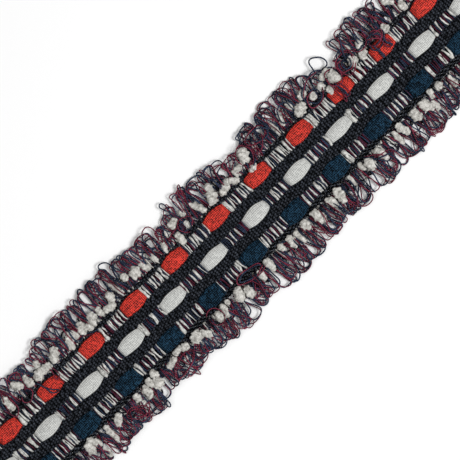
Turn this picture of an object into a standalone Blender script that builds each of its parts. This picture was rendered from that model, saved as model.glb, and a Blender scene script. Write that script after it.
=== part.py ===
"""A cut length of woven trim, lying flat.

Black warp columns hold bare wefts between them. Three ribbons run in and out of those wefts and show as ovals.
A fringe of thin loops and lumpy slub yarn stands along both edges, each on its own narrow backing.
+X runs along the trim, +Y towards the edge beside the red ribbon, +Z up, and the trim rests on z = 0.
"""

import math
import random

import bmesh
import bpy

MM = 0.001

# The repeat along the trim: one oval and one ladder of bare wefts
REPEAT = 20.0 * MM
REPEATS = 12
LENGTH = REPEAT * REPEATS
HALF_LENGTH = LENGTH / 2
END_INSET = 0.2 * MM
CLEARANCE = 0.3 * MM

# The black ground
COLUMN_THICK = 1.6 * MM
COLUMN_STEPS = 4
BAND_EDGE = {"red": 11.6 * MM, "navy": -12.8 * MM}
GAP_OPENS = 0.6 * MM

# The bare wefts, which pass under an oval and over the ribbon between two ovals
WEFT_THICK = 0.6 * MM
WEFT_GRIP = 0.5 * MM
UNDER_HALF = 3.4 * MM
UNDER_LOW = 0.6 * MM
OVER_HALF = 4.85 * MM
OVER_LOW = 0.75 * MM
OVER_RIDGES = 5
RIDGE_HEIGHT = 0.2 * MM

# Each ribbon: where it runs, where its ovals fall in the repeat, and the gap between the columns beside it
RIBBON_COLUMNS = ("name", "y", "first_oval", "gap", "oval_width", "colour")
RIBBON_ROWS = (
    ("red", 8.10 * MM, 0.0, 4.0 * MM, 6.0 * MM, (0.440, 0.037, 0.030)),
    ("white", -0.32 * MM, REPEAT / 2, 4.0 * MM, 5.5 * MM, (0.539, 0.546, 0.521)),
    ("navy", -8.93 * MM, 0.0, 4.3 * MM, 5.9 * MM, (0.010, 0.024, 0.042)),
)
RIBBONS = [dict(zip(RIBBON_COLUMNS, row)) for row in RIBBON_ROWS]
RIBBON_THICK = 0.4 * MM
RIBBON_CROWN = 0.5 * MM

# One oval from its middle to the next ladder's middle: distance, height above the columns, width, crown
OVAL_COLUMNS = ("along", "raised", "width", "crown")
OVAL_ROWS = (
    (0.0 * MM, 1.0, 1.00, 1.0),
    (2.0 * MM, 1.0, 0.94, 0.8),
    (3.4 * MM, 1.0, 0.67, 0.4),
    (4.9 * MM, 0.0, 0.60, 0.0),
    (REPEAT / 2, 0.0, 0.56, 0.0),
)
OVAL = [dict(zip(OVAL_COLUMNS, row)) for row in OVAL_ROWS]

# The fringes
BACKING_WIDTH = 0.8 * MM
BACKING_HEIGHT = 2.4 * MM
LOOPS_PER_REPEAT = 4
LOOP_SEGMENTS = 5
LOOP_SIDE = 0.75 * MM
LOOP_ROOT = 0.5 * MM
LOOP_HALF_WIDTH = (0.8 * MM, 1.25 * MM)
LOOP_LEAN = 0.4 * MM
RAISED_ROOT = 1.1 * MM
RAISED_LIFT = (0.3 * MM, 0.9 * MM)
SLUB_EVERY = 3
SLUB_RADIUS = 1.1 * MM
SLUB_ROOT = 1.75 * MM
SLUB_HEIGHT = 2.3 * MM
SLUB_LUMPS = (0.5, 1.0, 0.6, 1.05, 0.65, 0.9, 0.4)
SLUB_SIZES = (0.85, 1.15)
SLUB_SHARE = 0.6

# How far the loops stand out from the band, each row from its place along the trim to the next
REACH_COLUMNS = ("from_x", "reach")
REACH_ROWS = {
    "red": (
        (-120 * MM, 9.8 * MM),
        (-72 * MM, 12.7 * MM),
        (-32 * MM, 11.2 * MM),
        (-19 * MM, 9.2 * MM),
        (-9 * MM, 13.1 * MM),
        (-4 * MM, 11.7 * MM),
        (11 * MM, 8.0 * MM),
        (23 * MM, 11.8 * MM),
        (35 * MM, 12.8 * MM),
        (51 * MM, 7.5 * MM),
        (58 * MM, 10.5 * MM),
        (63 * MM, 6.0 * MM),
        (68 * MM, 11.8 * MM),
    ),
    "navy": (
        (-120 * MM, 11.2 * MM),
        (-52 * MM, 9.0 * MM),
        (-48 * MM, 11.9 * MM),
        (-41 * MM, 9.2 * MM),
        (-33 * MM, 11.6 * MM),
        (-7 * MM, 8.8 * MM),
        (-3 * MM, 11.9 * MM),
        (30 * MM, 9.0 * MM),
        (36 * MM, 11.4 * MM),
    ),
}
LOOP_SHORTER = 1.4 * MM
FULL_EVERY = 3
OVERALL_HALF_WIDTH = 25.0 * MM

BLACK = (0.012, 0.013, 0.017)
FRINGE = (0.060, 0.032, 0.050)


def new_collection(name):
    collection = bpy.data.collections.new(name)
    bpy.context.scene.collection.children.link(collection)
    return collection


def clear_scene():
    for obj in list(bpy.data.objects):
        bpy.data.objects.remove(obj, do_unlink=True)


def fabric(name, colour, roughness):
    """A plain matt finish in the cloth's colour."""
    material = bpy.data.materials.new(name)
    material.use_nodes = True
    shader = material.node_tree.nodes["Principled BSDF"]
    shader.inputs["Base Color"].default_value = (*colour, 1.0)
    shader.inputs["Roughness"].default_value = roughness
    shader.inputs["Metallic"].default_value = 0.0
    return material


def curve_object(name, dimensions, lines, closed, radii=None):
    """A curve with one straight-sided spline for each line of points."""
    curve = bpy.data.curves.new(name, "CURVE")
    curve.dimensions = dimensions
    for number, line in enumerate(lines):
        spline = curve.splines.new("POLY")
        spline.points.add(len(line) - 1)
        spline.use_cyclic_u = closed
        for index, place in enumerate(line):
            spline.points[index].co = (*place, 1.0)
            if radii:
                spline.points[index].radius = radii[number][index]
    return bpy.data.objects.new(name, curve)


def as_mesh(obj, collection):
    """The curve's solid as a mesh in world space, with its caps welded; the curve is removed."""
    collection.objects.link(obj)
    bpy.context.view_layer.update()
    graph = bpy.context.evaluated_depsgraph_get()
    mesh = bpy.data.meshes.new_from_object(obj.evaluated_get(graph))
    mesh.transform(obj.matrix_world)
    shape = bmesh.new()
    shape.from_mesh(mesh)
    bmesh.ops.remove_doubles(shape, verts=shape.verts, dist=1e-6)
    bmesh.ops.recalc_face_normals(shape, faces=shape.faces)
    shape.to_mesh(mesh)
    shape.free()
    name = obj.name
    curve = obj.data
    bpy.data.objects.remove(obj, do_unlink=True)
    bpy.data.curves.remove(curve)
    solid = bpy.data.objects.new(name, mesh)
    collection.objects.link(solid)
    return solid


def join(target, other):
    """A live Boolean union; the joined shape stays as a hidden helper."""
    other.hide_render = True
    other.display_type = "WIRE"
    union = target.modifiers.new("with_" + other.name, "BOOLEAN")
    union.operation = "UNION"
    union.solver = "MANIFOLD"
    union.object = other


def gap_half(ribbon, x):
    """Half the space between the columns beside a ribbon: widest at the middle of each oval."""
    turn = 2 * math.pi * (x - ribbon["first_oval"]) / REPEAT
    return ribbon["gap"] / 2 + GAP_OPENS / 2 * (0.5 + 0.5 * math.cos(turn))


def gap_edge(ribbon, side):
    """The line of a column's edge beside a ribbon, on its red side (+1) or its navy side (-1)."""
    steps = COLUMN_STEPS * REPEATS
    along = [-HALF_LENGTH + LENGTH * step / steps for step in range(steps + 1)]
    return [(x, ribbon["y"] + side * gap_half(ribbon, x), 0.0) for x in along]


def straight_edge(y):
    """The line of an outer edge of the band."""
    return [(-HALF_LENGTH, y, 0.0), (HALF_LENGTH, y, 0.0)]


def black_columns(helpers):
    """Four slabs whose inner edges give way to the ovals."""
    lower = [gap_edge(ribbon, 1) for ribbon in RIBBONS] + [straight_edge(BAND_EDGE["navy"])]
    upper = [straight_edge(BAND_EDGE["red"])] + [gap_edge(ribbon, -1) for ribbon in RIBBONS]
    outlines = [below + above[::-1] for below, above in zip(lower, upper)]
    columns = curve_object("black_columns", "2D", outlines, closed=True)
    columns.data.fill_mode = "BOTH"
    columns.data.extrude = COLUMN_THICK / 2
    columns.location.z = COLUMN_THICK / 2
    return as_mesh(columns, helpers)


def clipped(middle, half):
    """Both ends of a stretch of wefts, kept inside the trim's own ends."""
    limit = HALF_LENGTH - END_INSET
    return max(middle - half, -limit), min(middle + half, limit)


def weft_section(middle, half, low, ridges):
    """The side view of one plate of wefts, with a ridge for each thick thread."""
    start, end = clipped(middle, half)
    steps = 2 * max(1, round(ridges * (end - start) / (2 * half)))
    top = low + WEFT_THICK
    roof = []
    for step in range(steps + 1):
        x = start + (end - start) * step / steps
        roof.append((x, top + RIDGE_HEIGHT * (step % 2), 0.0))
    return roof[::-1] + [(start, low, 0.0), (end, low, 0.0)]


def bare_section(middle, half, low):
    """The side view of a plain plate of wefts under an oval."""
    start, end = clipped(middle, half)
    top = low + WEFT_THICK
    return [(start, low, 0.0), (end, low, 0.0), (end, top, 0.0), (start, top, 0.0)]


def weft_ladder(ribbon, helpers):
    """All the wefts of one ladder: a plate under each oval and a ridged one over the ribbon in between."""
    sections = []
    for step in range(-REPEATS // 2 - 1, REPEATS // 2 + 2):
        oval = step * REPEAT + ribbon["first_oval"]
        if clipped(oval, UNDER_HALF)[0] + END_INSET < clipped(oval, UNDER_HALF)[1]:
            sections.append(bare_section(oval, UNDER_HALF, UNDER_LOW))
        between = oval + REPEAT / 2
        if clipped(between, OVER_HALF)[0] + END_INSET < clipped(between, OVER_HALF)[1]:
            sections.append(weft_section(between, OVER_HALF, OVER_LOW, OVER_RIDGES))
    ladder = curve_object("wefts_" + ribbon["name"], "2D", sections, closed=True)
    ladder.data.fill_mode = "BOTH"
    ladder.data.extrude = ribbon["gap"] / 2 + WEFT_GRIP
    ladder.location.y = ribbon["y"]
    ladder.rotation_euler.x = math.radians(90)
    return as_mesh(ladder, helpers)


def woven_band(parts, helpers):
    band = black_columns(helpers)
    band.name = "woven_band"
    helpers.objects.unlink(band)
    parts.objects.link(band)
    band.data.materials.append(fabric("black_warp", BLACK, 0.8))
    for ribbon in RIBBONS:
        join(band, weft_ladder(ribbon, helpers))


def ribbon_stations(ribbon):
    """Where a ribbon's cross-sections stand along the trim, each with its row of the oval's table."""
    found = {}
    for step in range(-REPEATS // 2 - 1, REPEATS // 2 + 2):
        oval = step * REPEAT + ribbon["first_oval"]
        for row in OVAL:
            for x in (oval - row["along"], oval + row["along"]):
                if abs(x) <= HALF_LENGTH + 1e-9:
                    found[round(x, 6)] = row
    return sorted(found.items())


def ribbon_strip(ribbon, parts):
    """A thin strip that arches over the wefts at each oval and dives under them in between."""
    stations = ribbon_stations(ribbon)
    shape = bmesh.new()
    bmesh.ops.create_grid(shape, x_segments=len(stations) - 1, y_segments=2, size=1.0)
    shape.verts.ensure_lookup_table()
    low = RIBBON_THICK / 2
    high = COLUMN_THICK + CLEARANCE + RIBBON_THICK / 2
    for vert in shape.verts:
        x, row = stations[round((vert.co.x + 1) / 2 * (len(stations) - 1))]
        across = vert.co.y
        inside = max(-HALF_LENGTH + END_INSET, min(HALF_LENGTH - END_INSET, x))
        lift = low + (high - low) * row["raised"]
        crown = RIBBON_CROWN * row["crown"] * (1 - across * across)
        width = ribbon["oval_width"] * row["width"]
        vert.co = (inside, ribbon["y"] + across * width / 2, lift + crown)
    mesh = bpy.data.meshes.new("ribbon_" + ribbon["name"])
    shape.to_mesh(mesh)
    shape.free()
    strip = bpy.data.objects.new("ribbon_" + ribbon["name"], mesh)
    parts.objects.link(strip)
    strip.data.materials.append(fabric("knit_" + ribbon["name"], ribbon["colour"], 0.7))
    wall = strip.modifiers.new("thickness", "SOLIDIFY")
    wall.thickness = RIBBON_THICK
    wall.offset = 0.0


def reach_at(side, x):
    """How far the fringe stands out at x."""
    reach = 0.0
    for values in REACH_ROWS[side]:
        row = dict(zip(REACH_COLUMNS, values))
        if x >= row["from_x"]:
            reach = row["reach"]
    return reach


def loop_line(root, outward, reach, half_width, lean, low, lift):
    """One loop, out and back: a teardrop in plan whose tip leans a little and whose middle is lifted."""
    line = []
    for step in range(LOOP_SEGMENTS + 1):
        turn = math.pi * step / LOOP_SEGMENTS
        swell = half_width * math.sin(2 * turn) + LOOP_ROOT * math.cos(turn)
        x = root[0] + lean * math.sin(turn) - swell
        y = root[1] + outward * reach * math.sin(turn)
        line.append((x, y, low + lift * math.sin(turn)))
    return line


def slub_line(root, outward, reach, lean):
    """One lumpy strand that lies on the loops, straight out from its root."""
    steps = len(SLUB_LUMPS) - 1
    line = []
    for step in range(steps + 1):
        share = step / steps
        height = SLUB_HEIGHT if step else SLUB_ROOT
        line.append((root[0] + lean * share, root[1] + outward * reach * share, height))
    return line


def triangle_section(helpers):
    """The thread's section: a triangle with its flat side down."""
    height = LOOP_SIDE * math.sqrt(3) / 2
    corners = ((-LOOP_SIDE / 2, 0.0, 0.0), (LOOP_SIDE / 2, 0.0, 0.0), (0.0, height, 0.0))
    section = curve_object("thread_section", "2D", [corners], closed=True)
    helpers.objects.link(section)
    section.hide_render = True
    section.display_type = "WIRE"
    return section


def loop_roots(raised):
    """Evenly spaced places along the trim; the raised loops stand halfway between those on the floor."""
    spacing = REPEAT / LOOPS_PER_REPEAT
    count = LOOPS_PER_REPEAT * REPEATS - raised
    return [(index - (count - 1) / 2) * spacing for index in range(count)]


def fringe_lines(side, middle):
    """The middle lines of one side's loops, those of its slub strands, and each slub strand's lumps."""
    outward = 1 if side == "red" else -1
    longest = max(values[1] for values in REACH_ROWS[side])
    furthest = math.sin(math.pi * (LOOP_SEGMENTS // 2) / LOOP_SEGMENTS)
    full = (OVERALL_HALF_WIDTH - LOOP_SIDE / 2 - abs(middle)) / furthest
    draw = random.Random(side)
    loops, slubs, lumps = [], [], []
    for raised in (False, True):
        for index, x in enumerate(loop_roots(raised)):
            lean = draw.uniform(-LOOP_LEAN, LOOP_LEAN)
            shorter = draw.uniform(0.0, LOOP_SHORTER) if index % FULL_EVERY else 0.0
            reach = full * reach_at(side, x) / longest - shorter
            if raised and index % SLUB_EVERY == 1:
                slubs.append(slub_line((x, middle), outward, reach * SLUB_SHARE, lean))
                size = draw.uniform(*SLUB_SIZES)
                lumps.append([lump * size for lump in SLUB_LUMPS])
                continue
            half_width = draw.uniform(*LOOP_HALF_WIDTH)
            low = RAISED_ROOT if raised else 0.0
            lift = draw.uniform(*RAISED_LIFT) if raised else 0.0
            loops.append(loop_line((x, middle), outward, reach, half_width, lean, low, lift))
    return loops, slubs, lumps


def thread_solids(side, loops, section, helpers):
    """The thin loops, three-sided, as one mesh of separate strands."""
    threads = curve_object("threads_" + side, "3D", loops, closed=False)
    threads.data.twist_mode = "Z_UP"
    threads.data.bevel_mode = "OBJECT"
    threads.data.bevel_object = section
    threads.data.use_fill_caps = True
    return as_mesh(threads, helpers)


def slub_solids(side, slubs, lumps, helpers):
    """The lumpy strands, four-sided, as one mesh."""
    slub = curve_object("slub_" + side, "3D", slubs, closed=False, radii=lumps)
    slub.data.twist_mode = "Z_UP"
    slub.data.bevel_depth = SLUB_RADIUS
    slub.data.bevel_resolution = 0
    slub.data.use_fill_caps = True
    return as_mesh(slub, helpers)


def backing_strip(side, middle, parts):
    """The narrow strip that holds every root of one fringe."""
    bpy.ops.mesh.primitive_cube_add(size=1.0, location=(0.0, middle, BACKING_HEIGHT / 2))
    backing = bpy.context.object
    backing.name = f"fringe_{side}_side"
    backing.scale = (LENGTH - 2 * END_INSET, BACKING_WIDTH, BACKING_HEIGHT)
    for collection in list(backing.users_collection):
        collection.objects.unlink(backing)
    parts.objects.link(backing)
    backing.data.materials.append(fabric("threads_" + side, FRINGE, 0.8))
    return backing


def fringe(side, section, parts, helpers):
    """Loops on the floor, raised loops above them and lumpy slub yarn between those, on one backing."""
    outward = 1 if side == "red" else -1
    middle = BAND_EDGE[side] + outward * (CLEARANCE + BACKING_WIDTH / 2)
    loops, slubs, lumps = fringe_lines(side, middle)
    backing = backing_strip(side, middle, parts)
    join(backing, thread_solids(side, loops, section, helpers))
    join(backing, slub_solids(side, slubs, lumps, helpers))


def build():
    clear_scene()
    parts = new_collection("woven_trim")
    helpers = new_collection("helpers")
    woven_band(parts, helpers)
    for ribbon in RIBBONS:
        ribbon_strip(ribbon, parts)
    section = triangle_section(helpers)
    for side in ("red", "navy"):
        fringe(side, section, parts, helpers)


build()
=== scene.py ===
import math

import bpy
import numpy as np
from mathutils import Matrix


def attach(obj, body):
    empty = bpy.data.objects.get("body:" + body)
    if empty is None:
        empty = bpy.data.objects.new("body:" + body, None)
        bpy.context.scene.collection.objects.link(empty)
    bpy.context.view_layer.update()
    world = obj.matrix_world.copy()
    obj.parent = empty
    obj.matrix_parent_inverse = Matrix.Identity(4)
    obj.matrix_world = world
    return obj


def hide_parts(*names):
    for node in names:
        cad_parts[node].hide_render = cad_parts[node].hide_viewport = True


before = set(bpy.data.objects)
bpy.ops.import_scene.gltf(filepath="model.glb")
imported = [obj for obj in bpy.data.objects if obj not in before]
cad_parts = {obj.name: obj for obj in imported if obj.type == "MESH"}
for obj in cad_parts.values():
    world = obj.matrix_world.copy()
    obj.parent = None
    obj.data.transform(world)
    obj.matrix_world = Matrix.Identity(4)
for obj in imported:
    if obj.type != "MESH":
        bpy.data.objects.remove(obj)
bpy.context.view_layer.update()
mm = 0.001

# The repeat, as in the solids: ovals and ladders of bare wefts, each half of it
cloth = {
    "repeat": 20 * mm,
    "halfLength": 120 * mm,
    "edges": {"red": 12.0 * mm, "navy": -13.25 * mm},
    "gapOpens": 0.35 * mm,
}

# Where each ladder runs and how far its ovals lie off it, then oval place and half length, ladder height, widths
ribbonColumns = ("name", "y", "aside", "firstOval", "half", "gap", "middle", "left", "right", "crown", "dark", "light", "gloss", "level", "mottle")
ribbonRows = (
    ("red", 8.28, 0.25, -0.3, 4.75, 3.76, 5.75, 4.2, 4.0, 0.75, (56, 5, 5), (240, 67, 53), 0.2, 0.46, 0.7),
    ("white", -0.19, -0.05, 9.9, 5.05, 3.48, 5.45, 3.8, 3.2, 0.75, (156, 157, 155), (216, 217, 213), 0.25, 0.46, 0.4),
    ("navy", -8.81, -0.18, -0.4, 4.75, 3.78, 6.2, 4.5, 4.8, 0.6, (0, 4, 9), (36, 68, 91), 0.05, 0.24, 1.4),
)
ribbons = [dict(zip(ribbonColumns, row)) for row in ribbonRows]
for ribbon in ribbons:
    for measure in ribbonColumns[1:10]:
        ribbon[measure] *= mm


def linear(red, green, blue):
    # The screen colour's linear value, each channel ((c + 0.055) / 1.055) ^ 2.4 above the short straight part
    found = []
    for channel in (red / 255, green / 255, blue / 255):
        found.append(channel / 12.92 if channel <= 0.04045 else ((channel + 0.055) / 1.055) ** 2.4)
    return (*found, 1.0)


class Value:
    # A socket; sums written with it add Math nodes

    def __init__(self, shader, socket):
        self.shader = shader
        self.socket = socket

    def maths(self, operation, *values):
        return self.shader.node("ShaderNodeMath", {"operation": operation}, dict(enumerate(values)))

    def __add__(self, other):
        return self.maths("ADD", self, other)

    def __radd__(self, other):
        return self.maths("ADD", other, self)

    def __sub__(self, other):
        return self.maths("SUBTRACT", self, other)

    def __rsub__(self, other):
        return self.maths("SUBTRACT", other, self)

    def __mul__(self, other):
        return self.maths("MULTIPLY", self, other)

    def __rmul__(self, other):
        return self.maths("MULTIPLY", other, self)

    def sine(self):
        return self.maths("SINE", self)

    def clamped(self):
        return self.maths("MINIMUM", self.maths("MAXIMUM", self, 0.0), 1.0)

    def out(self, name):
        return Value(self.shader, self.socket.node.outputs[name])


class Finish:
    # One material, built from nodes

    def __init__(self, name):
        self.material = bpy.data.materials.new(name)
        self.material.use_nodes = True
        self.tree = self.material.node_tree
        self.surface = self.tree.nodes["Principled BSDF"]

    def node(self, kind, settings=None, inputs=None):
        made = self.tree.nodes.new(kind)
        for name, setting in (settings or {}).items():
            if name == "stops":
                for index, (place, colour) in enumerate(setting):
                    stops = made.color_ramp.elements
                    stop = stops[index] if index < len(stops) else stops.new(place)
                    stop.position = place
                    stop.color = colour
            else:
                setattr(made, name, setting)
        for name, value in (inputs or {}).items():
            self.feed(made.inputs[name], value)
        shown = [socket for socket in made.outputs if socket.enabled]
        return Value(self, shown[0])

    def feed(self, socket, value):
        if isinstance(value, Value):
            self.tree.links.new(value.socket, socket)
        else:
            socket.default_value = value

    def mix(self, share, first, second):
        settings = {"data_type": "RGBA"}
        return self.node("ShaderNodeMix", settings, {0: share, 6: first, 7: second})

    def noise(self, place, scale, detail=2.0):
        return self.node("ShaderNodeTexNoise", {}, {"Vector": place, "Scale": scale, "Detail": detail})

    def bump(self, height, strength, distance):
        inputs = {"Height": height, "Strength": strength, "Distance": distance}
        self.feed(self.surface.inputs["Normal"], self.node("ShaderNodeBump", {}, inputs))


def threadFinish(name, dark, light, settings):
    # Twisted yarn: its plies show as sin(2 pi (length / turn + share round)), over patches and single fibres; the sine
    # is partly the twist's pattern and partly painted highlight on each ply and painted shade between the plies
    finish = Finish(name)
    map = finish.node("ShaderNodeUVMap", {"uv_map": "lay"})
    split = finish.node("ShaderNodeSeparateXYZ", {}, {0: map})
    place = finish.node("ShaderNodeTexCoord").out("Object")
    turns = split * (1 / settings["turn"])
    ply = ((turns + split.out("Y")) * (2 * math.pi * settings["plies"])).sine()
    patches = finish.noise(place, settings["patches"])
    fibres = finish.noise(place, settings["fibres"], 3.0)
    share = 0.5 + settings["ply"] * ply + (patches - 0.5) * settings["mottle"] + (fibres - 0.5) * 1.2
    # A yarn's flanks are darker than its top, as its plies shade each other there
    up = finish.node("ShaderNodeSeparateXYZ", {}, {0: finish.node("ShaderNodeTexCoord").out("Normal")}).out("Z")
    share = share * (1 - settings["rim"] + settings["rim"] * up.clamped())
    if "grooves" in settings:
        # Below the floats' tops the weave lies in its own shade
        low, high = settings["grooves"]
        height = finish.node("ShaderNodeSeparateXYZ", {}, {0: place}).out("Z")
        share = share * ((height - low) * (1 / (high - low))).clamped()
    colour = finish.mix(share.clamped(), linear(*dark), linear(*light))
    finish.feed(finish.surface.inputs["Base Color"], colour)
    finish.feed(finish.surface.inputs["Roughness"], settings["roughness"] + 0.15 * patches)
    finish.surface.inputs["Sheen Weight"].default_value = settings["sheen"]
    finish.surface.inputs["Sheen Roughness"].default_value = 0.5
    finish.surface.inputs["Specular IOR Level"].default_value = settings["gloss"]
    finish.bump(ply * settings["ply"] * 3 + fibres * 1.2, 0.6, settings["relief"])
    return finish.material


def ribbonFinish(ribbon, settings):
    # Fine knit: rows across and wales along, both sines on the ribbon's own map in metres, that wander a little
    finish = Finish(ribbon["name"] + "Knit")
    map = finish.node("ShaderNodeUVMap", {"uv_map": "lay"})
    split = finish.node("ShaderNodeSeparateXYZ", {}, {0: map})
    place = finish.node("ShaderNodeTexCoord").out("Object")
    wander = finish.noise(place, 420.0) * (settings["wander"] * 2 * math.pi)
    rows = (split * (2 * math.pi / settings["row"]) + wander).sine()
    wales = (split.out("Y") * (2 * math.pi / settings["wale"]) + wander).sine()
    patches = finish.noise(place, 620.0, 3.0)
    fibres = finish.noise(place, 1900.0, 3.0)
    knit = 0.2 * rows + 0.36 * wales
    share = ribbon["level"] + knit + (patches - 0.5) * ribbon["mottle"] + (fibres - 0.5) * (2 + ribbon["mottle"])
    finish.feed(finish.surface.inputs["Base Color"], finish.mix(share.clamped(), linear(*ribbon["dark"]), linear(*ribbon["light"])))
    finish.feed(finish.surface.inputs["Roughness"], 0.6 + 0.2 * patches)
    finish.surface.inputs["Sheen Weight"].default_value = settings["sheen"]
    finish.surface.inputs["Specular IOR Level"].default_value = ribbon["gloss"]
    finish.bump(knit * 2 + fibres * 0.6, 0.8, settings["relief"])
    return finish.material


def meshFrom(name, points, faces, maps, material):
    # faces is a list of index arrays, one row a face; maps holds the matching corner coordinates
    mesh = bpy.data.meshes.new(name)
    counts = np.concatenate([np.full(len(part), part.shape[1]) for part in faces])
    corners = np.concatenate([part.ravel() for part in faces])
    starts = np.concatenate([[0], np.cumsum(counts)[:-1]])
    mesh.vertices.add(len(points))
    mesh.vertices.foreach_set("co", np.ascontiguousarray(points, np.float32).ravel())
    mesh.loops.add(len(corners))
    mesh.loops.foreach_set("vertex_index", corners.astype(np.int32))
    mesh.polygons.add(len(counts))
    mesh.polygons.foreach_set("loop_start", starts.astype(np.int32))
    mesh.update(calc_edges=True)
    layer = mesh.uv_layers.new(name="lay")
    spread = np.concatenate([part.reshape(-1, 2) for part in maps])
    layer.data.foreach_set("uv", spread.astype(np.float32).ravel())
    mesh.validate()
    mesh.shade_smooth()
    mesh.materials.append(material)
    piece = bpy.data.objects.new(name, mesh)
    bpy.context.scene.collection.objects.link(piece)
    return piece


def tubes(name, paths, wide, high, sides, material):
    # For n paths of m points: point + wide cos(a) side + high sin(a) up, where side is up cross the path's direction
    strands, count = paths.shape[:2]
    ahead = np.gradient(paths, axis=1)
    ahead /= np.linalg.norm(ahead, axis=2, keepdims=True) + 1e-12
    side = np.cross([0.013, 0.007, 1.0], ahead)
    side /= np.linalg.norm(side, axis=2, keepdims=True) + 1e-12
    up = np.cross(ahead, side)
    turn = 2 * np.pi * np.arange(sides) / sides
    wide = np.broadcast_to(wide, (strands, count))[:, :, None, None]
    high = np.broadcast_to(high, (strands, count))[:, :, None, None]
    rings = paths[:, :, None, :] + wide * np.cos(turn)[None, None, :, None] * side[:, :, None, :]
    rings = rings + high * np.sin(turn)[None, None, :, None] * up[:, :, None, :]
    index = np.arange(strands * count * sides).reshape(strands, count, sides)
    near, far = index[:, :-1], index[:, 1:]
    walls = np.stack([near, np.roll(near, -1, 2), np.roll(far, -1, 2), far], axis=-1).reshape(-1, 4)
    steps = np.linalg.norm(np.diff(paths, axis=1), axis=2)
    along = np.concatenate([np.zeros((strands, 1)), np.cumsum(steps, axis=1)], axis=1)
    here = np.broadcast_to(along[:, :-1, None], (strands, count - 1, sides))
    there = np.broadcast_to(along[:, 1:, None], (strands, count - 1, sides))
    low = np.broadcast_to(np.arange(sides) / sides, here.shape)
    top = low + 1 / sides
    corners = ((here, low), (here, top), (there, top), (there, low))
    wallMap = np.stack([np.stack(pair, axis=-1) for pair in corners], axis=-2).reshape(-1, 4, 2)
    caps = np.concatenate([index[:, 0, ::-1], index[:, -1]])
    capMap = np.zeros((len(caps), sides, 2))
    return meshFrom(name, rings.reshape(-1, 3), [walls, caps], [wallMap, capMap], material)


def gapHalf(ribbon, x):
    # Half the space between the columns: widest beside the middle of an oval
    turn = 2 * np.pi * (x - ribbon["firstOval"]) / cloth["repeat"]
    return ribbon["gap"] / 2 + cloth["gapOpens"] * (0.5 + 0.5 * np.cos(turn))


def ovalOffset(ribbon, x):
    # How far past the nearest oval's middle, in metres
    return (x - ribbon["firstOval"] + cloth["repeat"] / 2) % cloth["repeat"] - cloth["repeat"] / 2


def smooth(low, high, value):
    share = np.clip((value - low) / (high - low), 0, 1)
    return share * share * (3 - 2 * share)


warp = {
    "ends": (4, 11, 11, 4),
    "pick": 1.1 * mm,
    "samples": 6,
    "middle": 0.78 * mm,
    "rise": 0.42 * mm,
    "high": 0.19 * mm,
    "narrow": 0.19 * mm,
    "float": 0.35 * mm,
    "sides": 5,
}


def blackWarp(material):
    # Each end rises and dips by cos(pi x / pick), its neighbour the other way, and spreads where it floats
    step = 2 * warp["pick"] / warp["samples"]
    x = np.arange(-cloth["halfLength"], cloth["halfLength"] + step / 2, step)
    red, white, navy = ribbons
    upper = [np.full_like(x, cloth["edges"]["red"])] + [r["y"] - gapHalf(r, x) for r in ribbons]
    lower = [r["y"] + gapHalf(r, x) for r in ribbons] + [np.full_like(x, cloth["edges"]["navy"])]
    random = np.random.default_rng(3)
    paths, wide = [], []
    for ends, above, below in zip(warp["ends"], upper, lower):
        for end in range(ends):
            y = below + (above - below) * (end + 0.5) / ends
            y = y + random.normal(0, 0.02 * mm) + 0.03 * mm * np.sin(x * random.uniform(300, 700))
            start = random.normal(0, 0.2) + 0.2 * np.sin(x * 310) + 0.35 * np.sin(x * random.uniform(500, 900))
            swing = np.cos(np.pi * x / warp["pick"] + start) * (1 if end % 2 else -1)
            paths.append(np.stack([x, y, warp["middle"] + warp["rise"] * swing], axis=-1))
            wide.append(warp["narrow"] + warp["float"] * swing ** 2 + random.normal(0, 0.008 * mm))
    return tubes("wovenBand", np.array(paths), np.array(wide), warp["high"], warp["sides"], material)


weft = {
    "spacing": 0.43 * mm,
    "stray": 0.15,
    "turns": ((0, 1, 2, 0, 2), (0, 2, 1, 2, 2), (0, 2, 1, 2)),
    "names": ("slubWefts", "maroonWefts", "navyWefts"),
    "thick": ((0.15 * mm, 0.43 * mm), (0.19 * mm, 0.25 * mm), (0.19 * mm, 0.25 * mm)),
    "height": (1.26 * mm, 1.12 * mm, 1.06 * mm),
    "under": 0.75 * mm,
    "grip": 0.32 * mm,
    "dive": 0.6 * mm,
    "lower": 0.68 * mm,
    "points": 9,
    "sides": 5,
}


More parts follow.
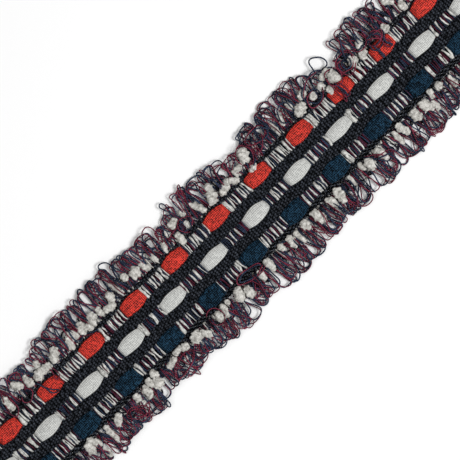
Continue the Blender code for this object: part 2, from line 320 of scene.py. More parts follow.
def weftPieces(finishes):
    # Across each gap x0 + slant v + bow (1 - v^2), v from -1 to 1, and both ends dive under the columns by v^8
    random = np.random.default_rng(11)
    v = np.sin(np.linspace(-np.pi / 2, np.pi / 2, weft["points"]))[None, :]
    count = int(2 * cloth["halfLength"] / weft["spacing"]) - 3
    places = ((np.arange(count) - (count - 1) / 2) * weft["spacing"])[:, None]
    paths, yarns, radii = [], [], []
    for ribbon, turns in zip(ribbons, weft["turns"]):
        x = places + random.normal(0, 0.13 * mm, (count, 1))
        # The three yarns take turns, but for a pick here and there
        stray = random.uniform(0, 1, (count, 1)) < weft["stray"]
        yarn = np.where(stray, random.choice([0, 1, 2, 2], (count, 1)), np.resize(turns, (count, 1)))
        away = np.abs(ovalOffset(ribbon, x))
        beside = np.abs(ovalOffset(ribbon, x) - ribbon["half"] - 0.85 * mm) < weft["spacing"] / 2
        yarn = np.where(beside, 0, yarn)
        yarn = np.where((yarn == 0) & (away < ribbon["half"] - 0.3 * mm), 2, yarn)
        over = smooth(ribbon["half"] - 0.5 * mm, ribbon["half"] + 0.3 * mm, away)
        low, high = np.moveaxis(np.array(weft["thick"])[yarn], -1, 0)
        radius = low + (high - low) * random.uniform(0, 1, (count, 1))
        # The slub past each oval's end is thick
        radius = radius * (1 + beside * random.uniform(0.3, 1.1, (count, 1)))
        waves = np.sin(2 * np.pi * (v * random.uniform(0.25, 0.6, (count, 1)) + random.uniform(0, 1, (count, 1))))
        radius = radius * (1 + np.where(yarn == 0, 0.35, 0.12) * waves)
        height = weft["under"] + (np.array(weft["height"])[yarn] - weft["under"]) * over
        height = height + random.normal(0, 0.1 * mm, (count, 1)) + (1 - v ** 2) * 0.2 * mm * over
        xs = x + random.normal(0, 0.17 * mm, (count, 1)) * v + random.normal(0, 0.2 * mm, (count, 1)) * (1 - v ** 2)
        bends = np.sin(2 * np.pi * (v * random.uniform(0.5, 1.2, (count, 1)) + random.uniform(0, 1, (count, 1))))
        xs = xs + random.normal(0, 0.07 * mm, (count, 1)) * bends
        ys = ribbon["y"] + (gapHalf(ribbon, x) + weft["grip"]) * v
        paths.append(np.stack([xs, ys, height - weft["dive"] * over * v ** 8], axis=-1))
        yarns.append(yarn[:, 0])
        radii.append(radius)
    paths, yarns, radii = np.concatenate(paths), np.concatenate(yarns), np.concatenate(radii)
    pieces = []
    for number, (name, finish) in enumerate(zip(weft["names"], finishes)):
        own = yarns == number
        pieces.append(tubes(name, paths[own], radii[own], radii[own] * 0.85, weft["sides"], finish))
    # Every second pick again, flat and lower: the dark yarns that close the ladder beneath, in the painted-shade
    # colour, so they also stand for the shade between the picks above
    under = paths[::2, ::2] * np.array([1, 1, 0]) + np.array([0, 0, weft["lower"]])
    pieces.append(tubes("shadeWefts", under, 0.56 * mm, 0.14 * mm, 4, finishes[-1]))
    return pieces


ribbonShape = {
    "step": 0.5 * mm,
    "across": 20,
    "low": 0.25 * mm,
    "edge": 1.62 * mm,
    "hidden": 3.0 * mm,
    "wall": 0.16 * mm,
    "vary": 0.035,
    "creases": 5,
    "creaseDepth": 0.09 * mm,
}


def ribbonPiece(ribbon, seed, material):
    # z is the dive's height plus crown (1 - |v|^2.6); creases are troughs exp(-((v - c) / w)^2) that follow the outline
    random = np.random.default_rng(seed)
    count = int(round(2 * cloth["halfLength"] / ribbonShape["step"])) + 1
    x = np.linspace(-cloth["halfLength"], cloth["halfLength"], count)[:, None]
    v = np.linspace(-1, 1, ribbonShape["across"] + 1)[None, :]
    away = np.abs(ovalOffset(ribbon, x))
    oval = np.round((x - ribbon["firstOval"]) / cloth["repeat"]).astype(int)
    oval = oval - oval.min()
    raised = smooth(ribbon["half"] + 0.65 * mm, ribbon["half"] - 0.75 * mm, away)
    round_ = np.clip(np.cos(np.pi * away / (2.5 * ribbon["half"])), 0, 1)
    middle = ribbon["middle"] * random.normal(1, ribbonShape["vary"], oval.max() + 1)[oval]
    offset = np.clip(ovalOffset(ribbon, x) / ribbon["half"], -1, 1)
    end = (ribbon["left"] + ribbon["right"]) / 2 + (ribbon["right"] - ribbon["left"]) / 2 * offset
    width = end + (middle - end) * (1 - offset ** 2)
    shown = smooth(ribbon["half"] + 0.75 * mm, ribbon["half"] - 0.15 * mm, away)
    width = ribbonShape["hidden"] + (width - ribbonShape["hidden"]) * shown
    crown = ribbon["crown"] * raised * (0.75 + 0.25 * round_)
    z = ribbonShape["low"] + (ribbonShape["edge"] - ribbonShape["low"]) * raised + crown * (1 - np.abs(v) ** 2.6)
    for crease in range(ribbonShape["creases"]):
        place = random.uniform(-0.85, 0.85, oval.max() + 1)[oval]
        start = random.uniform(-4, 4, oval.max() + 1)[oval] * mm
        deep = random.uniform(0.3, 1.0, oval.max() + 1)[oval]
        reach = np.exp(-((ovalOffset(ribbon, x) - start) / (3.2 * mm)) ** 2)
        z = z - ribbonShape["creaseDepth"] * raised * deep * reach * np.exp(-((v - place) / 0.07) ** 2)
    y = ribbon["y"] + ribbon["aside"] * raised + v * width / 2 + 0.05 * mm * np.sin(x * 900 + ribbon["y"] * 1e4)
    points = np.stack([np.broadcast_to(x, z.shape), y, z], axis=-1)
    columns = ribbonShape["across"] + 1
    index = np.arange(count * columns).reshape(count, columns)
    quads = np.stack([index[:-1, :-1], index[1:, :-1], index[1:, 1:], index[:-1, 1:]], axis=-1).reshape(-1, 4)
    flat = np.stack([points[..., 0], v * ribbon["middle"] / 2 + 0 * x], axis=-1).reshape(-1, 2)
    piece = meshFrom("ribbon" + ribbon["name"].title(), points.reshape(-1, 3), [quads], [flat[quads]], material)
    wall = piece.modifiers.new("wall", "SOLIDIFY")
    wall.thickness = ribbonShape["wall"]
    wall.offset = -1.0
    return piece


fringeLoops = {
    "pairs": 146,
    "points": 25,
    "sides": 5,
    "radius": (0.22 * mm, 0.28 * mm),
    "fuller": {"maroon": 0.83, "navy": 1.03},
    "halfWidth": (0.8 * mm, 2.1 * mm),
    "cross": 1.1 * mm,
    "lean": 1.0 * mm,
    "jitter": 0.35 * mm,
    "swing": (0.13, 0.42),
    "wildShare": 0.15,
    "openShare": 0.75,
    "sway": 0.05,
    "root": (0.4 * mm, 1.2 * mm),
    "tip": (0.3 * mm, 1.5 * mm),
    "hump": (0.1 * mm, 0.9 * mm),
    "overShare": 0.17,
    "over": 1.2 * mm,
    "wobble": 0.5 * mm,
    "apart": 0.24 * mm,
    "lowest": 0.32 * mm,
}

# How far the loops stand out from the selvedge: place along the trim and reach, in mm
reachRows = {
    "red": (
        (-120, 10.5), (-90, 10.2), (-82, 9.9), (-77, 10), (-72, 12.6), (-34, 12.7), (-29, 11.2), (-24, 11.2),
        (-18, 8.7), (-15, 8.7), (-12, 10.6), (-9, 13), (-4, 13), (-2, 11.5), (9, 12.1), (12, 9), (14, 7.6),
        (22, 8.2), (25, 11.2), (38, 12.8), (44, 12.2), (51, 12.5), (53, 7.3), (58, 7.2), (63, 6), (67, 5.6),
        (68.5, 11.2), (79, 12), (120, 11.4),
    ),
    "navy": (
        (-120, 11.6), (-83, 10.2), (-79, 11.6), (-77, 11.8), (-73, 10.4), (-65, 9.9), (-63, 10.4), (-60, 12.3),
        (-57, 11.7), (-51, 10.1), (-49, 8.3), (-47, 8.2), (-45, 10.8), (-43, 11.5), (-41, 10.8), (-39, 9.5),
        (-35, 8.5), (-33, 8.6), (-31, 10.8), (-25, 11.8), (-15, 12.2), (-9, 11.3), (-5, 9.7), (-3, 9.9), (-1, 12.3),
        (19, 12.2), (25, 12.4), (29, 10.7), (32, 9.8), (35, 11.4), (41, 12.3), (43, 10.8), (45, 12.6), (55, 11.8),
        (61, 12.3), (81, 12.3), (85, 11.4), (120, 11.6),
    ),
}


def reachAt(side, x):
    places, reaches = np.array(reachRows[side]).T
    return np.interp(x / mm, places, reaches) * mm


# Where few loops stand and the lumps lie open: from and to along the trim, in mm
openRows = {"red": ((12.5, 23.5), (53, 64.5)), "navy": ()}


def openAt(side, x):
    return np.any([(x > low * mm) & (x < high * mm) for low, high in openRows[side]], axis=0)


def loopPaths(loops, random, points, lowest):
    # Out and back along the loop's own direction: out = reach sin(a)^0.9, a from 0 to pi, and the swell to the side
    # is sin(2a) sin(a)^2, so the widest place is near the tip; cross cos(a) parts or crosses the legs at the root
    a = np.linspace(0.02, 0.98, points)[None, :] * np.pi
    column = {name: values[:, None] for name, values in loops.items()}
    out = column["reach"] * np.sin(a) ** 0.9
    share = np.sin(a) ** 0.9
    swell = column["halfWidth"] * np.sin(2 * a) * np.sin(a) ** 2 / 0.65
    sideways = swell + column["cross"] * np.cos(a) * (1 - 0.4 * share) + column["lean"] * share ** 2
    count = len(loops["reach"])
    for turns in (2, 3, 5):
        start = random.uniform(0, 2 * np.pi, (2, count, 1))
        size = random.normal(0, fringeLoops["wobble"] / turns ** 0.7, (2, count, 1)) * np.sin(a) ** 0.5
        sideways = sideways + size[0] * np.sin(turns * a + start[0])
        out = out + size[1] * np.sin(turns * a + start[1]) * 0.6
    height = column["root"] + (column["tip"] - column["root"]) * share + column["hump"] * 4 * share * (1 - share)
    height = height + column["twist"] * np.cos(a)
    height = np.maximum(height, lowest)
    turn = column["turn"]
    x = column["x"] + out * np.sin(turn) + sideways * np.cos(turn)
    y = column["y"] + out * np.cos(turn) - sideways * np.sin(turn)
    return np.stack([x, y, height], axis=-1)


def clumpLean(x, side):
    # Neighbouring loops lean together, by a sum of two slow waves along the trim
    shift = 0.0 if side == "red" else 2.1
    return fringeLoops["sway"] * (np.sin(x / (2.9 * mm) + shift) + 0.7 * np.sin(x / (1.27 * mm) + 2 * shift))


def sideLoops(side, seed):
    # Pairs of one maroon and one navy thread that follow each other loosely
    random = np.random.default_rng(seed)
    count = fringeLoops["pairs"]
    outward = 1 if side == "red" else -1
    x = np.linspace(-1, 1, count) * (cloth["halfLength"] - 2.2 * mm) + random.normal(0, fringeLoops["jitter"], count)
    x = np.clip(x, 2 * mm - cloth["halfLength"], cloth["halfLength"] - 2 * mm)
    full = random.uniform(0, 1, count) ** 0.4
    wild = random.uniform(0, 1, count) < fringeLoops["wildShare"]
    swing = random.normal(0, 1, count) * np.where(wild, *fringeLoops["swing"][::-1])
    hidden = openAt(side, x) & (random.uniform(0, 1, count) < fringeLoops["openShare"])
    shared = {
        "x": x,
        "y": np.full(count, cloth["edges"][side] - outward * 0.4 * mm),
        "turn": (0 if side == "red" else np.pi) + swing + clumpLean(x, side),
        "reach": reachAt(side, x) * (0.87 + 0.19 * full) * np.where(hidden, 0.45, 1.0),
        "halfWidth": random.uniform(*fringeLoops["halfWidth"], count),
        "cross": random.normal(0, fringeLoops["cross"], count),
        "lean": random.normal(0, fringeLoops["lean"], count),
        "root": random.uniform(*fringeLoops["root"], count),
        "tip": random.uniform(*fringeLoops["tip"], count),
        "hump": random.uniform(*fringeLoops["hump"], count) + fringeLoops["over"] * (random.uniform(0, 1, count) < fringeLoops["overShare"]),
        "twist": random.normal(0, 0.25 * mm, count),
    }
    # A loop that leans keeps inside the line of its neighbours' tips
    shared["reach"] = shared["reach"] * (1 - 0.25 * np.sin(shared["turn"]) ** 2)
    found = []
    for offset in (-1, 1):
        own = {name: values.copy() for name, values in shared.items()}
        own["x"] = own["x"] + offset * fringeLoops["apart"] + random.normal(0, 0.4 * mm, count)
        own["reach"] = own["reach"] * random.uniform(0.88, 1.03, count)
        own["turn"] = own["turn"] + random.normal(0, 0.05, count)
        own["halfWidth"] = own["halfWidth"] * random.uniform(0.6, 1.3, count)
        own["cross"] = own["cross"] + random.normal(0, 0.45 * mm, count)
        own["tip"] = own["tip"] + random.uniform(0, 0.5 * mm, count)
        found.append(loopPaths(own, random, fringeLoops["points"], fringeLoops["lowest"]))
    return found


# Single loops that fall out of line, read off the picture: root, direction from +Y, reach, half width and height in mm
strayColumns = ("side", "colour", "x", "y", "turn", "reach", "halfWidth", "height", "spare")
strayRows = (
    ("red", "navy", -88.5, 17.0, 62, 6.6, 1.5, 1.6, 0.3),
        ("red", "navy", -82.3, 13.4, 160, 8.0, 0.15, 2.6, 0.1),
    ("red", "maroon", -75.6, 15.0, 178, 6.2, 0.8, 2.5, 0.5),
    ("red", "maroon", -60.6, 15.6, -4, 8.6, 1.6, 1.7, 0.3),
    ("red", "maroon", 14.2, 15.6, 48, 5.6, 1.3, 1.8, 0.3),
    ("red", "navy", 24.6, 15.8, 2, 7.2, 1.4, 1.6, 0.2),
    ("red", "maroon", 58.9, 12.6, 182, 8.2, 0.8, 2.8, 0.4),
    ("red", "maroon", 60.0, 12.4, 176, 7.0, 0.7, 2.7, 0.5),
    ("red", "maroon", 80.6, 14.4, 172, 7.6, 0.8, 3.0, 0.3),
    ("red", "navy", 77.9, 11.6, 178, 6.0, 0.15, 3.1, 0.15),
    ("red", "navy", 82.2, 11.4, 182, 5.0, 0.15, 3.0, 0.15),
    ("red", "navy", 59.7, 11.8, 180, 6.4, 0.15, 3.0, 0.15),
    ("red", "maroon", 77.2, 14.8, 120, 6.6, 1.4, 3.1, 0.6),
    ("navy", "navy", -20.4, -14.8, 150, 6.0, 1.6, 2.0, 0.4),
    ("navy", "maroon", 9.2, -13.6, 160, 8.6, 1.7, 2.1, 0.4),
    ("navy", "maroon", -65.8, -16.4, 140, 5.4, 2.0, 2.2, 0.5),
    ("navy", "maroon", -71.4, -14.2, 205, 9.6, 1.3, 2.0, 0.5),
)
strays = [dict(zip(strayColumns, row)) for row in strayRows]

# Threads that curl into rings on top of the fringe: middle, length, width, direction from +X, height, start and sweep
ringColumns = ("side", "colour", "x", "y", "long", "wide", "turn", "height", "start", "sweep")
ringRows = (
    ("red", "maroon", -94.2, 14.2, 4.2, 8.4, 0, 2.8, 170, 215),
    ("red", "maroon", -87.4, 12.3, 4.4, 4.2, 0, 2.7, 130, 300),
    ("red", "maroon", -9.0, 14.4, 5.6, 4.8, 20, 2.9, 200, 400),
    ("red", "maroon", -13.2, 14.4, 5.4, 2.6, 8, 2.6, 0, 190),
    ("red", "navy", -9.2, 14.2, 4.4, 3.6, 20, 2.7, 40, 330),
    ("red", "maroon", -20.6, 19.6, 5.0, 7.6, -6, 1.9, -110, 320),
    ("red", "maroon", 15.8, 18.4, 4.6, 3.2, 20, 2.1, -100, 330),
    ("red", "maroon", 21.3, 16.0, 5.5, 7.6, -8, 2.9, -120, 340),
    ("red", "navy", 25.7, 20.6, 3.6, 4.6, 10, 1.8, -100, 330),
    ("red", "maroon", 28.6, 18.4, 8.2, 4.6, 12, 2.8, 0, 320),
    ("red", "navy", 29.6, 17.6, 6.6, 4.0, -20, 2.9, 160, 330),
    ("red", "maroon", 27.4, 15.6, 5.6, 2.8, 35, 3.0, 60, 300),
    ("red", "navy", 31.2, 18.2, 6.4, 4.2, 50, 2.6, 30, 360),
    ("red", "maroon", 51.8, 12.9, 7.2, 5.0, 15, 2.9, 60, 300),
    ("red", "navy", 51.4, 13.3, 5.8, 4.4, -10, 2.8, 130, 330),
    ("red", "navy", 60.5, 19.8, 5.3, 5.9, 0, 1.7, -100, 340),
    ("red", "maroon", 60.9, 13.2, 5.4, 6.6, 0, 3.2, 60, 350),
    ("red", "navy", 55.2, 15.6, 11.0, 8.2, 15, 2.6, 10, 160),
    ("red", "maroon", 54.8, 15.4, 10.4, 7.0, 18, 2.7, 10, 150),
    ("red", "navy", 56.0, 15.8, 9.4, 6.0, 15, 2.5, 0, 150),
    ("red", "navy", 41.3, 16.4, 6.0, 6.2, 0, 2.5, -60, 300),
    ("red", "maroon", 72.9, 18.0, 8.6, 10.0, 0, 2.7, 185, 165),
    ("red", "navy", 72.5, 18.4, 9.4, 9.4, 0, 2.6, 180, 130),
    ("red", "maroon", 67.2, 13.1, 7.0, 7.2, 0, 2.7, 150, 420),
    ("red", "maroon", 66.8, 13.2, 5.6, 4.6, 40, 2.9, 20, 330),
    ("red", "navy", 67.2, 13.2, 3.4, 3.4, 0, 3.0, 90, 400),
    ("red", "navy", 79.8, 11.7, 6.8, 5.4, 20, 2.9, 20, 390),
    ("red", "navy", 79.4, 12.1, 4.6, 3.8, -20, 3.0, 200, 330),
    ("red", "maroon", 79.6, 12.4, 5.6, 4.4, 30, 3.1, 90, 330),
    ("navy", "maroon", -6.1, -12.6, 10.6, 3.9, -6, 2.4, -25, 372),
    ("navy", "navy", -5.4, -12.9, 9.6, 2.9, -10, 2.3, -10, 330),
    ("navy", "maroon", -4.6, -13.6, 8.8, 3.2, -4, 2.3, 190, 170),
    ("navy", "maroon", -24.2, -14.8, 5.3, 6.4, 0, 2.7, 170, 330),
    ("navy", "maroon", -65.7, -18.2, 7.0, 4.4, -20, 2.4, 60, 380),
    ("navy", "maroon", -65.3, -18.5, 4.8, 3.0, -35, 2.5, 200, 340),
    ("navy", "maroon", -43.2, -18.0, 10.2, 4.6, 12, 2.4, 20, 340),
    ("navy", "maroon", -42.6, -17.6, 9.4, 3.2, 16, 2.6, 0, 200),
    ("navy", "navy", -43.0, -18.4, 9.8, 4.2, 8, 2.2, 170, 200),
    ("navy", "navy", 33.1, -19.6, 4.4, 5.6, 0, 1.6, 80, 330),
    ("navy", "navy", -29.3, -20.2, 6.0, 6.8, 0, 1.8, 90, 340),
)
rings = [dict(zip(ringColumns, row)) for row in ringRows]


def ringPaths(side, colour, seed):
    # An ellipse (long / 2 cos b, wide / 2 sin b) that is turned, wavers by three sines of b and sinks at its ends by t^6
    random = np.random.default_rng(seed)
    rows = [row for row in rings if row["side"] == side and row["colour"] == colour]
    column = {name: np.array([[row[name]] for row in rows], float) for name in ringColumns[2:]}
    t = np.linspace(-1, 1, fringeLoops["points"])[None, :]
    b = np.radians(column["start"] + column["sweep"] * (t + 1) / 2)
    size = 1 + 0.1 * t
    for turns in (2, 3, 5):
        start = random.uniform(0, 2 * np.pi, (len(rows), 1))
        size = size + random.normal(0, 0.11 / turns ** 0.5, (len(rows), 1)) * np.sin(turns * b * 0.9 + start)
    across, up = column["long"] / 2 * np.cos(b) * size, column["wide"] / 2 * np.sin(b) * size
    turn = np.radians(column["turn"])
    x = column["x"] + across * np.cos(turn) - up * np.sin(turn)
    y = column["y"] + across * np.sin(turn) + up * np.cos(turn)
    z = column["height"] + 0.15 * t - 1.1 * t ** 6
    return np.stack([x, y, z], axis=-1) * mm


def strayPaths(side, colour, seed):
    random = np.random.default_rng(seed)
    rows = [row for row in strays if row["side"] == side and row["colour"] == colour]
    found = {name: np.array([row[name] for row in rows]) * mm for name in ("x", "y", "reach", "halfWidth")}
    found["turn"] = np.radians([row["turn"] for row in rows])
    height = np.array([row["height"] for row in rows]) * mm
    found["root"] = height * 0.85
    found["tip"] = height
    found["hump"] = height * 0.08
    found["twist"] = np.full(len(rows), 0.15 * mm)
    found["cross"] = np.array([row["spare"] for row in rows]) * mm
    found["lean"] = random.normal(0, 0.3 * mm, len(rows))
    return loopPaths(found, random, fringeLoops["points"], fringeLoops["lowest"])


slub = {
    "along": 22,
    "around": 20,
    "bubbles": 24,
    "bubbleSize": 0.56 * mm,
    "bubbleRise": 0.19,
    "core": 0.69,
    "fuller": 1.25,
    "rough": 0.035 * mm,
    "flat": 0.62,
    "base": 0.55 * mm,
}

# The lumps that show, read off the picture: place, length, width in mm, and direction from +Y
lumpColumns = ("x", "y", "long", "wide", "turn")
lumpRows = {
    "red": (
        (-93.7, 15.0, 6.0, 2.6, 0), (-87.4, 17.2, 4.4, 2.9, -30), (-83.8, 15.4, 5.0, 2.8, 5), (-79.6, 14.4, 4.2, 3.2, 60),
        (-76.4, 14.2, 4.4, 3.0, 100), (-77.8, 17.4, 2.8, 2.2, 20), (-71.4, 15.4, 5.6, 3.4, 50), (-64.6, 14.4, 5.4, 2.6, 20),
        (-62.0, 15.4, 5.0, 2.4, -25), (-58.4, 14.8, 4.8, 3.2, 10), (-56.4, 13.6, 3.2, 2.4, -30), (-53.8, 14.6, 4.8, 3.4, 30),
        (-50.2, 14.6, 3.6, 2.2, 0), (-46.8, 13.2, 4.6, 2.8, 95), (-44.4, 15.2, 4.6, 2.8, 25), (-40.6, 16.2, 6.4, 2.2, -10),
        (-36.2, 16.6, 2.8, 2.4, 0), (-32.4, 15.2, 4.8, 3.6, 60), (-28.8, 14.4, 4.4, 2.6, -20), (-24.6, 14.2, 4.0, 1.8, 0),
        (-19.6, 14.0, 4.2, 1.8, 20), (-13.6, 12.4, 5.0, 2.6, 5), (-8.7, 13.9, 2.7, 1.9, 0), (-11.9, 17.5, 4.0, 2.8, 75), (-7.3, 17.6, 2.8, 1.8, 0), (-15.9, 16.6, 2.6, 1.5, 0), (-2.2, 15.5, 6.8, 2.6, -24),
        (3.4, 14.3, 5.0, 3.8, 40), (5.0, 16.8, 4.2, 2.5, 10), (8.4, 13.3, 4.6, 3.0, 75), (10.6, 14.4, 3.0, 2.2, 100),
        (12.8, 13.0, 3.8, 2.4, 130), (16.4, 14.4, 5.0, 3.4, 80), (20.9, 16.4, 5.2, 4.0, 30), (20.4, 11.4, 3.4, 2.6, 90),
        (34.8, 15.2, 6.0, 1.8, 0), (38.2, 15.8, 4.6, 1.6, 10), (43.6, 17.0, 3.2, 2.5, 0), (45.4, 13.6, 5.0, 3.8, 60),
        (49.6, 16.8, 4.4, 2.4, 75), (51.6, 13.8, 2.8, 2.4, 0), (55.6, 14.0, 3.2, 2.6, 80), (59.4, 16.2, 4.6, 2.8, 80),
        (61.2, 13.2, 4.8, 4.2, 0), (57.2, 10.8, 3.2, 2.6, 10), (69.4, 12.4, 3.8, 3.2, 0), (75.0, 14.9, 3.6, 2.6, 60),
        (73.6, 11.6, 4.0, 2.8, 30), (71.6, 17.6, 4.6, 1.9, 0), (84.8, 12.4, 3.2, 2.8, 0), (91.9, 18.0, 4.4, 2.6, -40),
        (94.6, 13.5, 3.8, 2.7, 0),
    ),
    "navy": (
        (-85.3, -15.2, 5.2, 3.4, 0), (-82.8, -14.9, 6.0, 2.9, -35), (-82.0, -20.2, 4.6, 1.8, 0), (-76.6, -16.8, 7.6, 2.4, 0),
        (-71.8, -15.4, 5.0, 2.6, 45), (-62.2, -14.8, 3.0, 2.4, 0), (-62.0, -17.4, 2.0, 1.9, 0), (-58.2, -15.8, 5.4, 3.0, 5),
        (-55.4, -14.2, 3.4, 2.6, 0), (-52.6, -13.6, 4.0, 2.6, 20), (-53.6, -16.2, 4.4, 3.6, 60), (-45.6, -15.0, 4.6, 2.6, 80),
        (-41.4, -13.4, 3.8, 2.4, 85), (-40.8, -17.4, 2.6, 1.6, 90), (-38.8, -14.2, 3.6, 2.4, 110), (-33.6, -14.8, 4.6, 3.8, 30), (-30.6, -16.2, 4.6, 2.6, -35),
        (-23.2, -15.6, 4.2, 2.7, 0), (-20.4, -15.4, 5.2, 2.7, 15), (-18.0, -14.0, 2.0, 1.5, 0), (-13.2, -15.0, 5.2, 3.4, 30),
        (-10.2, -17.0, 4.4, 3.3, 0), (-3.4, -16.0, 4.2, 2.2, 0), (1.0, -15.4, 5.4, 2.8, 0), (7.8, -14.2, 3.0, 2.2, 0),
        (11.8, -15.4, 5.0, 3.0, 0), (14.8, -16.2, 5.4, 2.4, -5), (18.8, -14.8, 4.0, 2.8, 10), (24.0, -15.8, 6.4, 3.4, -10),
        (30.7, -15.7, 5.0, 2.7, -20), (34.3, -16.0, 6.2, 3.2, 8), (40.6, -15.6, 4.6, 1.6, 0), (46.2, -14.6, 3.4, 1.8, 0),
        (48.8, -16.0, 4.8, 3.8, 20), (53.9, -16.4, 5.8, 2.9, -10), (61.6, -16.6, 6.0, 1.9, 0), (64.8, -15.6, 5.6, 2.8, -15),
        (71.2, -15.6, 4.4, 3.8, 0), (76.0, -15.8, 5.6, 3.4, -20), (78.2, -18.0, 4.0, 2.2, 0), (80.0, -14.2, 3.6, 2.4, 10),
        (83.8, -14.2, 3.0, 2.7, 45), (88.2, -16.4, 4.8, 2.4, 10),
    ),
}


def furtherLumps(side, random):
    # Past the picture's edge the lumps go on at the same spacing
    outward = 1 if side == "red" else -1
    rows = []
    for x in np.concatenate([np.arange(-117, -96, 3.6), np.arange(97.5, 118, 3.6)]):
        y = abs(cloth["edges"][side]) / mm + random.uniform(1.6, 4.4)
        rows.append((x + random.normal(0, 0.6), outward * y, random.uniform(3, 5.6), random.uniform(1.9, 3.6), random.uniform(-40, 40)))
    return rows


def ripple(points):
    # Three crossed waves stand in for the yarn's rough skin
    x, y, z = (points[..., axis] / mm for axis in range(3))
    return np.sin(6.1 * x + 2.3 * y) * np.cos(5.7 * y - 3.1 * z) + 0.6 * np.sin(9.3 * y + 7.1 * x + 6.4 * z)


def slubLumps(side, seed, material):
    # An egg (-cos(pi u) along, sin(pi u)^0.85 round) that swells to the nearest of its random bubbles by exp(-(d / size)^2)
    random = np.random.default_rng(seed)
    values = np.array(list(lumpRows[side]) + furtherLumps(side, random))
    x, y, long, wide, turn = (values[:, column, None, None] for column in range(5))
    wide = wide * slub["fuller"]
    count = len(values)
    turn = np.radians(turn)
    u = np.linspace(0.0, 1.0, slub["along"] + 1)[None, :, None]
    a = (2 * np.pi * np.arange(slub["around"]) / slub["around"])[None, None, :]

    def eggAt(u, a):
        along = -np.cos(np.pi * u) * long * mm / 2 * 0.86
        round_ = np.clip(np.sin(np.pi * u), 0, 1) ** 0.85 * wide * mm / 2 * slub["core"]
        return np.stack(np.broadcast_arrays(along, round_ * np.cos(a), round_ * np.sin(a)), axis=-1)

    egg = eggAt(u, a)
    places = (count, slub["bubbles"], 1)
    bubbles = eggAt(random.uniform(0.06, 0.94, places), random.uniform(0, 2 * np.pi, places))[:, :, 0]
    gaps = np.linalg.norm(egg[:, :, :, None] - bubbles[:, None, None], axis=-1)
    swell = np.exp(-(gaps / slub["bubbleSize"]) ** 2).max(axis=-1)[..., None]
    centre = np.zeros_like(egg)
    centre[..., 0] = egg[..., 0] * 0.8
    outward = egg - centre
    outward = outward / (np.linalg.norm(outward, axis=-1, keepdims=True) + 1e-9)
    egg = egg + outward * slub["bubbleRise"] * wide[..., None] * mm * swell
    egg = egg + outward * (slub["rough"] * ripple(egg))[..., None]
    px = x * mm + egg[..., 0] * np.sin(turn) + egg[..., 1] * np.cos(turn)
    py = y * mm + egg[..., 0] * np.cos(turn) - egg[..., 1] * np.sin(turn)
    lift = slub["base"] + wide * mm * 0.3 + random.uniform(0, 0.4 * mm, (count, 1, 1))
    pz = np.maximum(egg[..., 2] * slub["flat"] + lift, 0.02 * mm)
    points = np.stack([px, py, pz], axis=-1)
    index = np.arange(points.size // 3).reshape(points.shape[:3])
    near, far = index[:, :-1], index[:, 1:]
    walls = np.stack([near, far, np.roll(far, -1, 2), np.roll(near, -1, 2)], axis=-1).reshape(-1, 4)
    caps = np.concatenate([index[:, 0], index[:, -1, ::-1]])
    lay = np.stack(np.broadcast_arrays(u * long * mm, a / (2 * np.pi) + 0 * x), axis=-1).reshape(-1, 2)
    name = "slubLumps" + side.title()
    return meshFrom(name, points.reshape(-1, 3), [walls, caps], [lay[walls], lay[caps]], material)


innerLoops = {
    "points": 12,
    "sides": 5,
    "radius": (0.22 * mm, 0.36 * mm),
    "reach": (0.25, 0.62),
    "height": (0.25 * mm, 0.75 * mm),
    "lowest": 0.44 * mm,
}


def innerPiece(name, side, count, seed, material):
    # Shorter, thicker loops that fill the fringe from below; their width swells by up to 0.35 along them
    random = np.random.default_rng(seed)
    outward = 1 if side == "red" else -1
    x = np.linspace(-1, 1, count) * (cloth["halfLength"] - 3 * mm) + random.normal(0, 0.7 * mm, count)
    loops = {
        "x": x,
        "y": np.full(count, cloth["edges"][side] - outward * 0.5 * mm),
        "turn": (0 if side == "red" else np.pi) + random.normal(0, 0.2, count) + clumpLean(x, side),
        "reach": reachAt(side, x) * random.uniform(*innerLoops["reach"], count),
        "halfWidth": random.uniform(0.3, 1.5, count) * mm,
        "cross": random.normal(0, 0.9 * mm, count),
        "lean": random.normal(0, 0.9 * mm, count),
        "root": random.uniform(*innerLoops["height"], count),
        "tip": random.uniform(*innerLoops["height"], count),
        "hump": random.uniform(0.0, 0.5, count) * mm,
        "twist": random.normal(0, 0.1 * mm, count),
    }
    paths = loopPaths(loops, random, innerLoops["points"], innerLoops["lowest"])
    t = np.linspace(0, 1, paths.shape[1])[None, :]
    swell = 1 + 0.35 * np.sin(2 * np.pi * (t * random.uniform(1, 3, (count, 1)) + random.uniform(0, 1, (count, 1))))
    radius = random.uniform(*innerLoops["radius"], (count, 1)) * swell
    return tubes(name + side.title(), paths, radius, radius * 0.85, innerLoops["sides"], material)


print("finishes")
threadLook = {
    "turn": 1.7 * mm,
    "plies": 2,
    "ply": 0.42,
    "rim": 0.85,
    "patches": 300.0,
    "mottle": 1.6,
    "fibres": 4200.0,
    "roughness": 0.7,
    "sheen": 0.0,
    "gloss": 0.14,
    "relief": 0.05 * mm,
}
slubLook = dict(threadLook, ply=0.04, rim=0.45, patches=900.0, fibres=2600.0, roughness=0.8, gloss=0.15, relief=0.1 * mm)
warpLook = dict(threadLook, ply=0.1, rim=0.35, gloss=0.03, patches=850.0, mottle=2.8, fibres=2200.0, grooves=(1.0 * mm, 1.45 * mm))
knitLook = {"row": 0.68 * mm, "wale": 0.60 * mm, "wander": 0.45, "sheen": 0.0, "relief": 0.06 * mm}
weftCream = threadFinish("creamWeft", (116, 115, 112), (236, 236, 231), slubLook)
weftMaroon = threadFinish("maroonWeft", (26, 6, 16), (98, 32, 54), threadLook)
maroonFinish = threadFinish("maroonThread", (34, 10, 21), (146, 57, 79), threadLook)
navyFinish = threadFinish("navyThread", (5, 8, 15), (58, 71, 97), threadLook)
creamFinish = threadFinish("creamSlub", (114, 111, 105), (231, 229, 223), slubLook)
# Painted shade: a darker copy of the fringe threads, for the loops deep under the fringe and the flat picks under the
# ladders
paintedShadeFinish = threadFinish("innerShadedThread", (6, 7, 12), (40, 34, 48), threadLook)
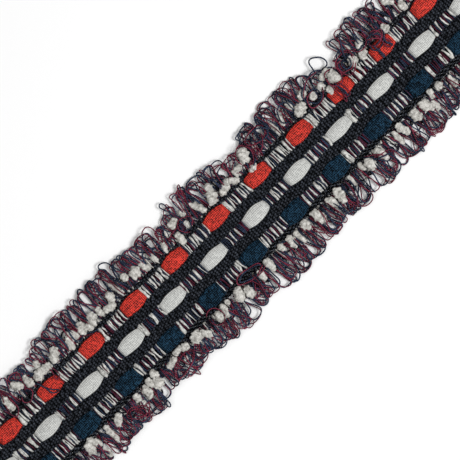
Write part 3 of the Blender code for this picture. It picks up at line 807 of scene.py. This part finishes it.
blackFinish = threadFinish("blackWarp", (9, 10, 12), (80, 85, 95), warpLook)


def place(piece, node, slotName):
    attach(piece, "root")
    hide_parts(node)
    print(f"  {piece.name}: {sum(len(face.vertices) - 2 for face in piece.data.polygons)} triangles")


print("woven ground")
band = blackWarp(blackFinish)
wefts = weftPieces((weftCream, weftMaroon, navyFinish, paintedShadeFinish))
place(band, "woven_band", "black_warp")
for piece, slotName in zip(wefts, ("slub_yarn", "fringe_threads", "fringe_threads", "fringe_threads")):
    place(piece, "woven_band", slotName)

print("ribbons")
for number, ribbon in enumerate(ribbons):
    look = ribbonFinish(ribbon, knitLook)
    place(ribbonPiece(ribbon, 31 + number, look), "ribbon_" + ribbon["name"], ribbon["name"] + "_ribbon")

print("fringes")
# The loops' seeds are those, of a few hundred, whose outline comes nearest to the rows above
for number, (side, seed) in enumerate((("red", 197), ("navy", 291))):
    node = f"fringe_{side}_side"
    random = np.random.default_rng(81 + number)
    for colour, paths, finish in zip(("maroon", "navy"), sideLoops(side, seed), (maroonFinish, navyFinish)):
        paths = np.concatenate([paths, strayPaths(side, colour, 51 + number), ringPaths(side, colour, 53 + number)])
        radius = random.uniform(*fringeLoops["radius"], (len(paths), 1)) * fringeLoops["fuller"][colour]
        loops = tubes(colour + "Loops" + side.title(), paths, radius, radius, fringeLoops["sides"], finish)
        place(loops, node, "fringe_threads")
    # Dark loops beneath the fringe: threads that lie there, coloured as painted shade where the fringe lies thick
    place(innerPiece("innerShade", side, 160, 91 + number, paintedShadeFinish), node, "fringe_threads")
    place(innerPiece("innerSlub", side, 70, 71 + number, creamFinish), node, "slub_yarn")
    place(slubLumps(side, 61 + number, creamFinish), node, "slub_yarn")

studio = {
    "turn": 45.78,
    "centre": (0.0, 2.3 * mm),
    "distance": 0.70,
    "frameWidth": 154.9 * mm,
    "sensor": 36.0,
    "floor": 1.2,
    "sky": 0.48,
}


def addCamera():
    # Straight above the trim, far enough off that the view is almost parallel
    lens = bpy.data.cameras.new("camera")
    lens.sensor_width = studio["sensor"]
    lens.lens = studio["sensor"] * studio["distance"] / studio["frameWidth"]
    lens.clip_start = 0.01
    camera = bpy.data.objects.new("camera", lens)
    camera.location = (*studio["centre"], studio["distance"])
    camera.rotation_euler = (0.0, 0.0, math.radians(-studio["turn"]))
    bpy.context.scene.collection.objects.link(camera)
    bpy.context.scene.camera = camera


def addLamp(name, place, size, power):
    lamp = bpy.data.lights.new(name, "AREA")
    lamp.size = size
    lamp.energy = power
    holder = bpy.data.objects.new(name, lamp)
    holder.location = place
    direction = -np.array(place)
    flat = math.hypot(direction[0], direction[1])
    holder.rotation_euler = (math.atan2(flat, -direction[2]), 0.0, math.atan2(direction[1], direction[0]) - math.pi / 2)
    bpy.context.scene.collection.objects.link(holder)


def addFloor():
    mesh = bpy.data.meshes.new("floor")
    half = studio["floor"]
    corners = [(-half, -half, 0), (half, -half, 0), (half, half, 0), (-half, half, 0)]
    mesh.from_pydata(corners, [], [(0, 1, 2, 3)])
    finish = Finish("paleFloor")
    finish.surface.inputs["Base Color"].default_value = (0.95, 0.95, 0.95, 1.0)
    finish.surface.inputs["Roughness"].default_value = 0.9
    finish.surface.inputs["Specular IOR Level"].default_value = 0.1
    mesh.materials.append(finish.material)
    floor = bpy.data.objects.new("floor", mesh)
    bpy.context.scene.collection.objects.link(floor)


def addSky():
    world = bpy.data.worlds.new("studio")
    world.use_nodes = True
    background = world.node_tree.nodes["Background"]
    background.inputs["Color"].default_value = (1.0, 1.0, 1.0, 1.0)
    background.inputs["Strength"].default_value = studio["sky"]
    bpy.context.scene.world = world


print("studio")
addCamera()
addFloor()
addSky()
addLamp("keyLamp", (0.35, -0.45, 0.75), 0.35, 6.2)
addLamp("fillLamp", (-0.4, 0.3, 0.8), 0.8, 1.2)
bpy.context.scene.view_settings.view_transform = "Standard"
